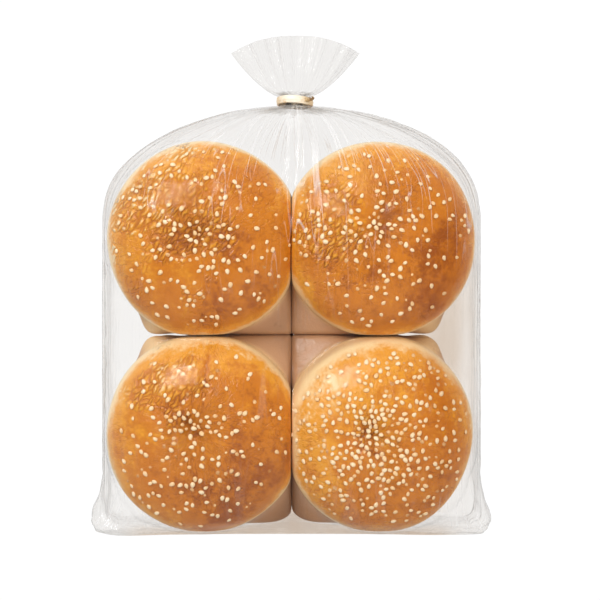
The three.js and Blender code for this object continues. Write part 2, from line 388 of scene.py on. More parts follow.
def bunPlace(bun, direction, phase):  # from a direction on a ball to a place on the bun, with its bake and its painted light and shade
    shape = bunShape
    flat = math.hypot(direction.x, direction.y)
    bearing = math.atan2(direction.y, direction.x)
    c, s = math.cos(bearing), math.sin(bearing)
    if direction.z >= 0:
        reach = flat ** (2 / shape["crownPower"])
        height = mix(shape["rim"], shape["thickness"], direction.z ** (2 / shape["crownPower"]))
    else:
        reach = flat ** (2 / shape["heelPower"])
        height = shape["rim"] * (1 - (-direction.z) ** (2 / shape["heelPower"]))

    lobes = 0.006 * math.sin(2 * bearing + phase) + 0.005 * math.sin(3 * bearing + 2.1 * phase)
    lobes += 0.004 * math.sin(5 * bearing - phase)
    halfWidth = shape["halfWidth"] * bun["wide"]
    radius = 1 / math.hypot(c / halfWidth, s / shape["halfHeight"]) * (1 + lobes)
    toRow = -1 if bun["row"] else 1
    fill = shape["innerFill"] * bell(turn(math.atan2(toRow, -bun["column"]), bearing), shape["fillSpread"])
    outerFill = shape["outerFill"] * bell(turn(math.atan2(1.6 * toRow, bun["column"]), bearing), 0.20)
    fill += outerFill
    if not bun["row"]:
        fill += shape["footFill"] * bell(turn(math.atan2(-1, -bun["column"]), bearing), 0.36)
    filled = smooth((shape["skirtHeight"] - height) / 9)
    radius *= 1 + fill * filled
    free = radius * reach

    x0, z0 = bunCentre(bun)
    seamX, seamZ = layerShift(bun)[0], shape["rowContact"] + layerShift(bun)[1]
    pressed = free
    blend = mix(shape["pressBlend"], 0.5, filled)
    toSide = -bun["column"] * c  # the neighbour's side
    if toSide > 0.05:
        pressed = softMin(pressed, (abs(x0 - seamX) - shape["gap"]) / toSide, blend)
    if toRow * s > 0.05:
        pressed = softMin(pressed, (abs(seamZ - z0) - shape["gap"]) / (toRow * s), blend)
    if not bun["row"] and s < -0.05:
        pressed = softMin(pressed, (z0 - shape["ground"]) / -s, shape["pressBlend"])
    x, z = pressed * c, pressed * s

    away = math.hypot(x - bun["dimple"][0], z - bun["dimple"][1])
    onCrown = smooth(direction.z * 2.5)
    height -= bun["dimpleDepth"] * bell(away, bun["dimpleWidth"]) * onCrown
    around = math.atan2(z - bun["dimple"][1], x - bun["dimple"][0])
    star = math.cos(7 * around + phase) + 0.6 * math.cos(11 * around + 2 * phase)
    ring = bell(away - 1.1 * bun["dimpleWidth"], 0.9 * bun["dimpleWidth"])
    height += shape["pucker"] * star * ring * onCrown
    crack = 0.0
    for crackX, crackZ, length, lean in bun["cracks"]:
        along = (x - crackX) * math.cos(lean) + (z - crackZ) * math.sin(lean)
        across = (z - crackZ) * math.cos(lean) - (x - crackX) * math.sin(lean) + 0.6 * math.sin(along)
        crack = max(crack, bell(across, 0.9) * bell(along, length))
    height -= 1.3 * crack * onCrown
    spot = Vector((x, z, 37 * phase))
    height += (1.1 * noise.noise(spot / 27) + 0.35 * noise.noise(spot / 9)) * onCrown
    height += 0.10 * noise.noise(spot / 3.2) * onCrown

    if direction.z < 0:
        toSeam = min(abs(x0 + x - seamX), abs(seamZ - z0 - z) * 1.6)
        height -= shape["groove"] * bell(toSeam, 1.3) * smooth(height / 6)

    squeeze = clamp((free - pressed) / 4 - 0.25)
    bakeAndPaintedLight = shape["flankBake"] + shape["crownBake"] * risen(height, *shape["crownFrom"])
    bakeAndPaintedLight += shape["topBake"] * risen(height, *shape["topFrom"])
    # painted shade: darker in the middle gap between the buns
    bakeAndPaintedLight -= shape["gapPaintedShade"][bun["row"]] * bell(x0 + x - seamX, 10) * filled
    bakeAndPaintedLight -= shape["rimBake"] * smooth((shape["rim"] - height) / 6) * (1 - 4 * outerFill)
    # torn crust where a neighbour presses it, and painted shade where it is pressed deepest
    bakeAndPaintedLight -= shape["pressedTornAndShade"] * squeeze
    # painted shade: darker in the dimple and along the cracks
    bakeAndPaintedLight += (0.14 * bell(away, bun["dimpleWidth"] * 0.8) + 0.3 * crack) * onCrown
    # painted light: paler towards the upper left, where the key light falls, darker to the lower right,
    # with each bun's own tone and random patches
    drift = shape["paintedLightSlope"] * (x - z) / 50 + bun["tone"] + 0.12 * noise.noise(spot / 21)
    bakeAndPaintedLight += drift * risen(height, 22, 12)
    place = Vector((x0 + x, bun["face"] * (shape["heelGap"] + height), z0 + z)) * mm
    near = max(away, 0.5)
    radial = Vector(((x - bun["dimple"][0]) / near, away / 10 + 9 * phase, (z - bun["dimple"][1]) / near))
    patchX, patchZ, patchSize = bun["wrinkled"]
    wrinkled = bell(math.hypot(x - patchX, z - patchZ), patchSize) * onCrown
    return place, clamp(bakeAndPaintedLight), radial, wrinkled


def makeBun(name, bun, number, material):
    bm = bmesh.new()
    bmesh.ops.create_cube(bm, size=2)
    bmesh.ops.subdivide_edges(bm, edges=bm.edges[:], cuts=bunShape["cuts"], use_grid_fill=True)
    bakeAndPaintedLightLayer = bm.verts.layers.float.new("bakeAndPaintedLight")
    radialLayer = bm.verts.layers.float_vector.new("radial")
    wrinkledLayer = bm.verts.layers.float.new("wrinkled")
    for vertex in bm.verts:
        # a cube's grid, evened out over the ball
        spread = Vector([math.tan(value * math.pi / 4) for value in vertex.co]).normalized()
        found = bunPlace(bun, spread, 1.7 * number + 0.6)
        vertex.co, vertex[bakeAndPaintedLightLayer], vertex[radialLayer], vertex[wrinkledLayer] = found
    faceOutward(bm)
    surface = BVHTree.FromBMesh(bm)
    finishPiece("bun" + name[0].upper() + name[1:], bm, material, "crust", "bag")
    return surface


# sesame seeds

seedShape = {
    "length": 3.1,
    "width": 2.4,
    "thickness": 1.3,
    "rings": 5,
    "sides": 8,
    "nearest": 2.45,  # between the middles of two seeds
    "reach": 47.5,  # furthest from the bun's middle
    "sunk": (0.16, -0.42),  # the middle of a seed over the crust, and that of a sunken one
    "rows": 17,  # seeds near a dimple lie in rows that run out from it
}


def seedMaterial():
    material, nodes, links, output = newMaterial("sesameSeed")
    shader = nodes.new("ShaderNodeBsdfPrincipled")
    tone = attribute(nodes, "tone")
    fine = objectNoise(nodes, links, 900, 2)
    mottled = rangeOf(nodes, links, fine, 0.3, 0.7, -0.12, 0.12)
    shade = maths(nodes, links, "ADD", tone.outputs["Fac"], mottled)
    stops = [(0.0, (0.97, 0.79, 0.52)), (0.45, (0.90, 0.60, 0.30)), (1.0, (0.50, 0.19, 0.035))]
    links.new(ramp(nodes, links, shade, stops), shader.inputs["Base Color"])
    links.new(bump(nodes, links, fine, 0.08, 0.5), shader.inputs["Normal"])
    shader.inputs["Roughness"].default_value = 0.42
    links.new(shader.outputs[0], output.inputs["Surface"])
    return material


def seedPlaces(bun, draw):  # where the seeds of one bun lie, seen square on its crown
    places = []
    tries = 0
    while len(places) < bun["seeds"] and tries < 60000:
        tries += 1
        bearing = draw.uniform(0, 2 * math.pi)
        if draw.random() < bun["cluster"]:
            away = abs(draw.gauss(0, 19))
            if draw.random() < 0.6:
                toRow = 2 * math.pi / seedShape["rows"]
                bearing = toRow * round(bearing / toRow)
                bearing += draw.gauss(0, 0.07)
            spot = Vector((away * math.cos(bearing), away * math.sin(bearing)))
            spot += Vector(bun["dimple"]) + Vector(bun["drift"]) * smooth(away / 20)
        else:
            away = seedShape["reach"] * math.sqrt(draw.random())
            spot = Vector((away * math.cos(bearing), away * math.sin(bearing)))
        if spot.length > seedShape["reach"]:
            continue
        if any((spot - other).length < seedShape["nearest"] for other in places):
            continue
        places.append(spot)
    return places


def addSeeds(allSeeds, bun, surface, number):
    shape = seedShape
    draw = random.Random(400 + number)
    bm = bmesh.new()
    toneAndShadowLayer = bm.verts.layers.float.new("tone")
    x0, z0 = bunCentre(bun)
    for spot in seedPlaces(bun, draw):
        start = Vector(((x0 + spot.x) * mm, bun["face"] * 0.09, (z0 + spot.y) * mm))
        place, normal, _, _ = surface.ray_cast(start, Vector((0, -bun["face"], 0)))
        if place is None:
            continue
        outward = spot - Vector(bun["dimple"])
        along = Vector((outward.x, 0, outward.y))
        lengthways = (along - normal * along.dot(normal)).normalized()
        seat = Matrix((lengthways.cross(normal), lengthways, normal)).transposed()
        stray = draw.gauss(0, 0.4 + 1.2 * smooth(outward.length / 35))
        seat = seat @ Matrix.Rotation(stray, 3, "Z") @ Matrix.Rotation(draw.gauss(0, 0.12), 3, "X")
        size = draw.uniform(0.84, 1.14)
        faded = draw.random() < 0.24
        tone = clamp(draw.gauss(0.55 if faded else 0.14, 0.12))
        lift = shape["sunk"][1] if faded else shape["sunk"][0]
        ball = bmesh.ops.create_uvsphere(bm, u_segments=shape["sides"], v_segments=shape["rings"], radius=1)
        for vertex in ball["verts"]:
            x, y, t = vertex.co
            slim = 1 - 0.24 * t - 0.10 * t * t  # a drop, pointed at one end
            halfWide, halfThick = slim * shape["width"] / 2, slim * shape["thickness"] / 2
            local = Vector((x * halfWide, t * shape["length"] / 2, y * halfThick))
            vertex.co = place + seat @ (local * size + Vector((0, 0, lift))) * mm
            # darker at the pointed end, and darkest underneath: partly a toasted rim, partly painted
            # contact shadow where the seed sits in the crust
            vertex[toneAndShadowLayer] = clamp(tone + 0.3 * max(0, t) ** 3 + 0.75 * (1 - clamp(y)) ** 3)
    bmesh.ops.recalc_face_normals(bm, faces=bm.faces[:])
    handful = bpy.data.meshes.new("handful")
    bm.to_mesh(handful)
    bm.free()
    allSeeds.from_mesh(handful)
    bpy.data.meshes.remove(handful)


# film: a thin clear bag over the buns, with the same form as its CAD node and finer folds

filmShape = {
    "slack": 1.7,  # how far the film stands off the crowns
    "footSlack": 10.0,
    "halfWidth": 105.6,
    "span": 32.0,  # half of the bag's depth where the film is spanned between buns
    "bend": 2.6,
    "flank": 200.0,
    "sectionPower": 4.4,
    "shoulderStart": 169.0,
    "shoulderTop": 235.8,
    "shoulderPower": 2.35,
    "shoulderEase": 0.55,
    "slopeStart": 192.0,
    "slopePower": 1.8,
    "baseHalfWidth": 100.5,
    "baseHalfDepth": 27.0,
    "baseEdge": 5.0,
    "neckHalfWidth": 8.6,
    "neckHalfDepth": 7.0,
    "neckOffset": 1.8,
    "neckTop": 242.6,
    "crowding": 0.2,  # more points on the faces than on the sides
    "around": 300,
    "rings": 150,
    "wall": 0.12,
    "clearance": 0.35,
    "search": 8.0,
}
earShape = {
    "reach": 11.0,
    "height": 30.0,
    "bearing": 0.66,
    "spread": 0.3,
    "crumple": 1.1,
    "taper": 1.15,
    "footShare": 0.8,
    "footHeight": 8.0,
}
fanShape = {
    "halfWidth": 36.8,
    "offset": 2.2,
    "height": 277.2,
    "tipDrop": 10.2,
    "edgePower": 2.4,
    "edgeTurn": 0.3,
    "flare": 0.65,
    "halfThickness": 2.1,
    "pleats": ((3.6, 4.3, 0.4), (1.7, 6.1, 2.1)),  # depth, half waves across the half-width, start
    "finePleats": ((0.75, 9.7, 1.1), (0.55, 14.3, 3.7), (0.40, 21.1, 0.6), (0.25, 31.7, 5.2)),
    "around": 300,
    "rings": 56,
}
gatherShape = {
    "waves": ((0.55, 17, 0.0), (0.3, 11, 1.9), (0.25, 25, 0.8)),  # share, count, start
    "neckDepth": 0.45,
    "shoulderDepth": 1.7,
    "shoulderRun": 62.0,
}


def gatherFolds(angle):
    return sum(share * math.cos(count * angle + start) for share, count, start in gatherShape["waves"])


def crownHeight(dx, dz, slack):  # of the film over one bun, falling away past its rim
    bun = bunShape
    away = math.hypot(dx / (bun["halfWidth"] + slack), dz / (bun["halfHeight"] + slack))
    crown = arch(min(away, 1), bun["crownPower"])
    return mix(bun["rim"], bun["thickness"] + slack, crown) - filmShape["flank"] * max(0, away - 1)


def faceHeight(x, z, spanned):  # of the film over four crowns, or spanned between them
    slack = filmShape["slack"] * smooth(z / filmShape["footSlack"])
    bend = filmShape["bend"]
    total = math.exp(spanned / bend)
    for column in (-bunShape["aside"], bunShape["aside"]):
        for row in (bunShape["lowerRow"], bunShape["upperRow"]):
            total += math.exp(crownHeight(x - column, z - row, slack) / bend)
    return bend * math.log(total)


def earReach(angle, z):
    ear = earShape
    lift = clamp(1 - z / ear["height"])
    profile = lift ** ear["taper"] * smooth(ear["footShare"] + z / ear["footHeight"])
    right = turn(-ear["bearing"], angle)
    left = turn(math.pi + ear["bearing"], angle)
    crease = ear["crumple"] * math.cos(19 * angle + z / 2.2)
    corners = bell(right, ear["spread"]) + 1.12 * bell(left, ear["spread"])
    return (ear["reach"] * profile + crease * lift) * corners


def filmPoint(angle, z):
    film = filmShape
    rise = clamp((z - film["shoulderStart"]) / (film["shoulderTop"] - film["shoulderStart"]))
    narrowing = (1 - rise ** film["shoulderPower"]) ** film["shoulderEase"]
    halfWidth = mix(film["neckHalfWidth"], film["halfWidth"], narrowing)
    if z < film["baseEdge"]:
        halfWidth = mix(film["baseHalfWidth"], film["halfWidth"], smooth(z / film["baseEdge"]))
    slope = clamp((z - film["slopeStart"]) / (film["shoulderTop"] - film["slopeStart"]))
    spanned = mix(film["baseHalfDepth"], film["span"], smooth(z / bunShape["lowerRow"]))
    halfDepth = mix(film["neckHalfDepth"], spanned, arch(slope, film["slopePower"]))

    power = mix(film["sectionPower"], 2, smooth(1.25 * rise - 0.25))
    c, s = math.cos(angle), math.sin(angle)
    reach = (abs(c) ** power + abs(s) ** power) ** (-1 / power)
    x = halfWidth * reach * c
    spanned = halfDepth * reach * abs(s)
    onFace = smooth(abs(s) * 1.6 - 0.3)
    y = math.copysign(mix(spanned, faceHeight(x, z, spanned), onFace), s)

    toNeck = clamp(1 - (film["shoulderTop"] - z) / gatherShape["shoulderRun"])
    near = smooth(toNeck) * (1 - 0.75 * smooth(4 * toNeck - 3))
    along = earReach(angle, z) + gatherShape["shoulderDepth"] * gatherFolds(angle) * near
    lean = film["neckOffset"] * smooth(rise * 1.1 - 0.1)
    return Vector((x + along * c + lean, y + along * s, z))


def fanPoint(angle, level):
    fan, film = fanShape, filmShape
    c, s = math.cos(angle), math.sin(angle)
    halfWidth = mix(film["neckHalfWidth"], fan["halfWidth"], level ** fan["flare"])
    halfDepth = mix(film["neckHalfDepth"], fan["halfThickness"], smooth(level * 2.2))
    gathered = gatherShape["neckDepth"] * gatherFolds(angle) * (1 - smooth(level * 3))
    swing = sum(depth * math.sin(math.pi * count * c + start) for depth, count, start in fan["pleats"])
    apart = 1 if s > 0 else -1  # the front and the back sheet don't crumple alike
    for depth, count, start in fan["finePleats"]:
        swing += depth * math.sin(math.pi * count * c + start * apart)
    edge = fan["height"] - fan["tipDrop"] * abs(c) ** fan["edgePower"]
    edge += fan["edgeTurn"] * (swing + halfDepth * s)  # a pleat that swings back is a little longer
    x = (halfWidth + gathered) * c + mix(film["neckOffset"], fan["offset"], level)
    return Vector((x, (halfDepth + gathered) * s + level * swing, mix(film["neckTop"], edge, level)))


def slackOf(angle, z):  # how creased the film is: most at the neck and the ears, least over the buns
    neck = smooth((z - 120) / 95)
    side = 0.55 * smooth((abs(math.cos(angle)) - 0.80) / 0.15)
    foot = 0.8 * smooth((30 - z) / 22) * smooth((abs(math.cos(angle)) - 0.45) / 0.3)
    cleft = 0.35 * bell(abs(math.cos(angle)), 0.10) * smooth((z - 60) / 60)
    return clamp(0.10 + neck + side + foot + cleft)


def reflectionAndShadeOf(point):  # painted reflection and shade: the film takes on the colour of the bread beside the right buns and at their feet, as a darker, warmer tint
    beside = smooth((point.x - 58) / 22) * (1 - smooth((point.x - 96) / 8)) * bell(point.z - 106, 62)
    between = bell(point.x, 34) * (1 - smooth((point.z - 5) / 20))
    along = 0.95 * (1 - smooth((point.z - 2) / 5)) * (1 - smooth((abs(point.x) - 78) / 18))
    return clamp(beside + max(between, along))


creaseKinds = {  # width and sway are bearings, in radians
    "shoulder": dict(
        width=(0.02, 0.07), depth=(-1.0, 1.3), top=None, bottom=(172, 224), sway=0.08, ease=16),
    "side": dict(
        width=(0.012, 0.035), depth=(-0.8, 0.9), top=(120, 215), bottom=(8, 90), sway=0.12, ease=22),
    "cleft": dict(
        width=(0.014, 0.022), depth=(0.5, 1.4), top=None, bottom=(100, 170), sway=0.03, ease=24),
}


def drawCrease(draw, angle, kind):  # a streak along the film, at a bearing, between two heights
    look = creaseKinds[kind]
    crease = dict(angle=angle, width=draw.uniform(*look["width"]), depth=draw.uniform(*look["depth"]))
    crease["top"] = draw.uniform(*look["top"]) if look["top"] else 300  # past the neck
    crease["bottom"] = draw.uniform(*look["bottom"])
    crease["sway"] = draw.uniform(-look["sway"], look["sway"])
    crease["ease"] = look["ease"]
    return crease


def drawCreases():
    draw = random.Random(71)
    creases = []
    for i in range(30):  # from the neck over the shoulders
        angle = 2 * math.pi * (i + draw.uniform(-0.45, 0.45)) / 30
        creases.append(drawCrease(draw, angle, "shoulder"))
    for side in (0, math.pi):
        for i in range(11):
            creases.append(drawCrease(draw, side + draw.uniform(-0.8, 0.8), "side"))
    for face in (-math.pi / 2, math.pi / 2):  # slack film between the left and right buns
        for i in range(7):
            angle = face + 0.045 * (i - 3) + draw.uniform(-0.01, 0.01)
            creases.append(drawCrease(draw, angle, "cleft"))
    return creases


def creaseHeight(creases, angle, z):
    total = 0.0
    for crease in creases:
        if not crease["bottom"] - crease["ease"] < z < crease["top"] + crease["ease"]:
            continue
        middle = crease["angle"] + crease["sway"] * math.sin((z - crease["bottom"]) / 45)
        away = abs(turn(middle, angle)) / crease["width"]
        if away > 4:
            continue
        fade = smooth((z - crease["bottom"] + crease["ease"]) / (2 * crease["ease"]))
        fade *= smooth((crease["top"] + crease["ease"] - z) / (2 * crease["ease"]))
        total += crease["depth"] * fade * math.exp(-(away ** 1.4))
    return total


def filmHeight(t):  # share of the way up the film's wall, from the edge of the base, to a height
    footTop = bunShape["halfHeight"] / 2
    if t < 0.15:
        return footTop * (t / 0.15) ** 1.7
    if t < 0.64:
        return mix(footTop, filmShape["shoulderStart"], (t - 0.15) / 0.49)
    quarter = math.pi / 2 * clamp((t - 0.64) / 0.34)
    underTie = 3.2 * clamp((t - 0.98) / 0.02)
    return mix(filmShape["shoulderStart"], filmShape["shoulderTop"], math.sin(quarter)) + underTie


def rolledGrid(around, rings):  # an open tube of quads, with each vertex's share of the way round and along
    bm = bmesh.new()
    bmesh.ops.create_grid(bm, x_segments=around, y_segments=rings, size=0.5)
    places = [(vertex.co.x + 0.5, vertex.co.y + 0.5) for vertex in bm.verts]
    return bm, places


def keepClear(point, outward, surfaces):  # moves a point of the film out until it clears the buns
    reach = filmShape["search"] * mm
    room = filmShape["clearance"] * mm
    start = point + outward * reach
    for surface in surfaces:
        hit = surface.ray_cast(start, -outward, reach + room)[0]
        if hit is not None and (point - hit).dot(outward) < room:
            point = hit + outward * room
    return point


def makeFilmBody(material, surfaces):
    baseShare = 0.04
    bm, places = rolledGrid(filmShape["around"], filmShape["rings"])
    lie = bm.verts.layers.float_vector.new("lie")
    slackLayer = bm.verts.layers.float.new("slack")
    reflectionAndShadeLayer = bm.verts.layers.float.new("reflectionAndShade")
    creases = drawCreases()
    angles = []
    for vertex, (u, t) in zip(bm.verts, places):
        angle = 2 * math.pi * (u % 1)
        angle += filmShape["crowding"] * math.sin(2 * angle)
        share = clamp(t / baseShare)
        z = 0.0 if share < 1 else filmHeight((t - baseShare) / (1 - baseShare))
        point = filmPoint(angle, min(z, filmShape["shoulderTop"]))
        vertex.co = Vector((point.x * share, point.y * share, z)) * mm
        vertex[lie] = (math.cos(angle) * share, math.sin(angle) * share, z / 100)
        vertex[slackLayer] = slackOf(angle, z)
        vertex[reflectionAndShadeLayer] = reflectionAndShadeOf(point)
        angles.append((angle, z, share))
    bm.normal_update()
    for vertex, (angle, z, share) in zip(bm.verts, angles):
        if share < 1 or z < 1:
            continue
        point = vertex.co / mm
        out = creaseHeight(creases, angle, z) * smooth((239 - z) / 10)
        out += 0.45 * abs(noise.noise(point / 15)) + 0.18 * noise.noise(point / 6)
        foot = smooth((32 - z) / 24) * smooth(abs(point.x) / 20 - 3.4)
        out += foot * 1.5 * noise.noise(Vector((point.x / 6, point.y / 6, point.z / 9)))
        out += 0.5 * bell(z - 2.7, 0.8)  # the fold along the edge of the base
        outward = Vector((math.cos(angle), math.sin(angle), 0)) if z > 233 else vertex.normal
        vertex.co += outward * out * smooth(z / 3) * mm
        vertex.co = keepClear(vertex.co, outward, surfaces)
    weld(bm)
    faceOutward(bm)
    return finishPiece("filmBag", bm, material, "film", "bag")


def makeFilmFan(material):
    bm, places = rolledGrid(fanShape["around"], fanShape["rings"])
    lie = bm.verts.layers.float_vector.new("lie")
    slackLayer = bm.verts.layers.float.new("slack")
    for vertex, (u, t) in zip(bm.verts, places):
        vertex[slackLayer] = 0.8
        angle = 2 * math.pi * (u % 1)
        level = clamp((t - 0.08) / 0.92)
        point = fanPoint(angle, level)
        if t < 0.08:
            point.z = mix(238.2, filmShape["neckTop"], t / 0.08)
        vertex.co = point * mm
        vertex[lie] = (math.cos(angle), math.sin(angle), 3 + level / 3)
    weld(bm)
    faceOutward(bm)
    return finishPiece("filmFan", bm, material, "film", "bag")


gathersShape = {
    "bottom": 234.0,
    "top": 244.4,
    "waves": ((0.5, 21, 0.4), (0.3, 13, 2.2), (0.2, 34, 1.0)),
    "deepest": 0.86,  # of the way to the neck's middle, inside the tie
    "shallow": 0.16,
    "runOut": 9.0,
    "inside": 0.5,  # how far the folds stay inside the outer film
    "around": 520,
    "rings": 24,
}


def makeGathers(material):  # the film folded up inside the neck
    shape = gathersShape
    bm, places = rolledGrid(shape["around"], shape["rings"])
    lie = bm.verts.layers.float_vector.new("lie")
    slackLayer = bm.verts.layers.float.new("slack")
    for vertex, (u, t) in zip(bm.verts, places):
        vertex[slackLayer] = 1.0
        angle = 2 * math.pi * (u % 1)
        z = mix(shape["bottom"], shape["top"], t)
        if z < filmShape["shoulderTop"]:
            outer = filmPoint(angle, z)
        else:
            level = clamp((z - filmShape["neckTop"]) / (fanShape["height"] - filmShape["neckTop"]))
            outer = fanPoint(angle, level)
        middle = Vector((filmShape["neckOffset"], 0, z))
        folded = 0.0
        for share, count, start in shape["waves"]:
            folded += share * math.cos(count * angle + start + 0.04 * z)
        depth = mix(shape["shallow"], shape["deepest"], bell(z - tieShape["middle"][2], shape["runOut"]))
        wide = (Vector((outer.x, outer.y, 0)) - Vector((middle.x, middle.y, 0))).length
        share = (1 - shape["inside"] / wide) * (1 - depth * (0.5 - 0.5 * folded))
        vertex.co = Vector((mix(middle.x, outer.x, share), mix(middle.y, outer.y, share), z)) * mm
        vertex[lie] = (math.cos(angle), math.sin(angle), z / 100)
    weld(bm)
    faceOutward(bm)
    return finishPiece("filmGathers", bm, material, "film", "bag")


def addWall(piece):
    wall = piece.modifiers.new("wall", "SOLIDIFY")
    wall.thickness = filmShape["wall"] * mm
    wall.offset = -1


filmLook = {
    "clear": (0.974, 0.970, 0.965),  # let through by one face of the film, seen square on
    "edge": (0.963, 0.959, 0.954),  # and seen along its face
    "reflectionAndShadeTint": (0.90, 0.857, 0.815),  # painted reflection and shade: a darker, warmer tint where its folds mirror the bread beside it
    "roughness": 0.085,
    "haze": 0.001,
    "edgeHaze": 0.12,  # of a face that is seen along its surface
    "milky": 0.26,  # haze along the sharpest creases
    "creaseWidth": 0.020,
    "mirror": 0.006,  # share that one face mirrors, seen square on
    "edgeMirror": 0.42,
}


def filmMaterial():
    look = filmLook
    material, nodes, links, output = newMaterial("clearFilm")
    lie = attribute(nodes, "lie")
    along = lie.outputs["Vector"]
    broad = vectorNoise(nodes, links, along, (9, 9, 1.3), 1)
    streaks = ridges(nodes, links, vectorNoise(nodes, links, along, (24, 24, 2.0), 1), 0.10)
    patchy = rangeOf(nodes, links, objectNoise(nodes, links, 22, 2), 0.42, 0.60, 0.12, 1.0)
    streaks = maths(nodes, links, "MULTIPLY", streaks, patchy)
    wrinkles = objectNoise(nodes, links, 110, 4, 0.55, (1, 1, 0.35))
    normal = bump(nodes, links, broad, 2.4, 0.7)
    normal = bump(nodes, links, streaks, 0.25, 0.4, normal)
    normal = bump(nodes, links, wrinkles, 0.7, 0.3, normal)

    weight = nodes.new("ShaderNodeLayerWeight")
    weight.inputs["Blend"].default_value = 0.5
    links.new(normal, weight.inputs["Normal"])
    slack = attribute(nodes, "slack")
    grazing = maths(nodes, links, "POWER", weight.outputs["Facing"], 2.0)
    doubled = maths(nodes, links, "ADD", grazing, slack.outputs["Fac"])  # slack film lies in folds
    tint = nodes.new("ShaderNodeMix")
    tint.data_type = "RGBA"
    links.new(doubled, tint.inputs["Factor"])
    tint.inputs["A"].default_value = (*look["clear"], 1)
    tint.inputs["B"].default_value = (*look["edge"], 1)
    # painted reflection of the bread and painted shade, as a darker, warmer tint in the film
    reflectionAndShade = attribute(nodes, "reflectionAndShade")
    tintPatches = rangeOf(nodes, links, objectNoise(nodes, links, 60, 3, 0.5, (1, 1, 0.4)), 0.3, 0.7, 0.7, 1.0)
    reflectionAndShadeTint = nodes.new("ShaderNodeMix")
    reflectionAndShadeTint.data_type = "RGBA"
    links.new(maths(nodes, links, "MULTIPLY", reflectionAndShade.outputs["Fac"], tintPatches), reflectionAndShadeTint.inputs["Factor"])
    links.new(tint.outputs["Result"], reflectionAndShadeTint.inputs["A"])
    reflectionAndShadeTint.inputs["B"].default_value = (*look["reflectionAndShadeTint"], 1)
    clear = nodes.new("ShaderNodeBsdfTransparent")
    links.new(reflectionAndShadeTint.outputs["Result"], clear.inputs["Color"])

    haze = nodes.new("ShaderNodeBsdfDiffuse")
    haze.inputs["Color"].default_value = (0.9, 0.9, 0.9, 1)
    long = ridges(nodes, links, vectorNoise(nodes, links, along, (15, 15, 0.9), 0), look["creaseWidth"])
    short = ridges(nodes, links, vectorNoise(nodes, links, along, (29, 29, 2.4), 0), look["creaseWidth"])
    longWhere = rangeOf(nodes, links, objectNoise(nodes, links, 26, 2), 0.46, 0.60)
    shortWhere = rangeOf(nodes, links, objectNoise(nodes, links, 41, 2), 0.50, 0.62)
    milky = maths(nodes, links, "MULTIPLY", maths(nodes, links, "SUBTRACT", 1.0, long), longWhere)
    milkyToo = maths(nodes, links, "MULTIPLY", maths(nodes, links, "SUBTRACT", 1.0, short), shortWhere)
    milky = maths(nodes, links, "MAXIMUM", milky, milkyToo)
    milky = maths(nodes, links, "MULTIPLY", milky, slack.outputs["Fac"])
    milky = rangeOf(nodes, links, milky, 0, 1, look["haze"], look["milky"])
    grazed = maths(nodes, links, "POWER", weight.outputs["Facing"], 3.0)
    grazed = maths(nodes, links, "MULTIPLY", grazed, look["edgeHaze"])
    hazed = maths(nodes, links, "ADD", milky, grazed)
    hazy = mixShaders(nodes, links, hazed, clear.outputs[0], haze.outputs[0])

    shine = nodes.new("ShaderNodeBsdfGlossy")
    shine.inputs["Roughness"].default_value = look["roughness"]
    links.new(normal, shine.inputs["Normal"])
    mirrored = maths(nodes, links, "POWER", weight.outputs["Facing"], 5.0)
    mirrored = rangeOf(nodes, links, mirrored, 0, 1, look["mirror"], look["edgeMirror"])
    surface = mixShaders(nodes, links, mirrored, hazy, shine.outputs[0])
    links.new(surface, output.inputs["Surface"])
    return material


# twist tie: a paper strip over a wire, wound round the neck, with its ends twisted together

tieShape = {
    "height": 4.2,
    "thickness": 0.85,
    "inside": (9.45, 7.85),  # half-sizes of the oval inside it
    "middle": (1.8, 0.0, 239.2),
    "tilt": -0.05,  # the right side hangs a little
    "wireRidge": 0.28,
    "overlap": 0.3,  # the strip lies on itself at the front right
    "tailStart": (5.8, -6.4),
    "tailBearing": -0.9,
    "tailLength": 7.2,
    "tailTurns": 1.25,
    "strand": (0.42, 1.15),  # half-thickness and half-width of one twisted end
}


def tieMaterial():
    material, nodes, links, output = newMaterial("tiePaper")
    shader = nodes.new("ShaderNodeBsdfPrincipled")
    fibres = objectNoise(nodes, links, 800, 3, 0.6, (1, 1, 3))
    stains = objectNoise(nodes, links, 210, 2, 0.5)
    frontSheen = attribute(nodes, "frontSheen")
    mixed = maths(nodes, links, "MULTIPLY", maths(nodes, links, "ADD", fibres, stains), 0.5)
    mixed = maths(nodes, links, "ADD", mixed, maths(nodes, links, "MULTIPLY", frontSheen.outputs["Fac"], 0.3))
    stops = [(0.30, (0.30, 0.18, 0.08)), (0.48, (0.66, 0.46, 0.23)), (0.84, (0.86, 0.78, 0.64))]
    links.new(ramp(nodes, links, mixed, stops), shader.inputs["Base Color"])
    links.new(bump(nodes, links, fibres, 0.12, 0.6), shader.inputs["Normal"])
    shader.inputs["Roughness"].default_value = 0.42
    shader.inputs["Specular IOR Level"].default_value = 0.6
    links.new(shader.outputs[0], output.inputs["Surface"])
    return material


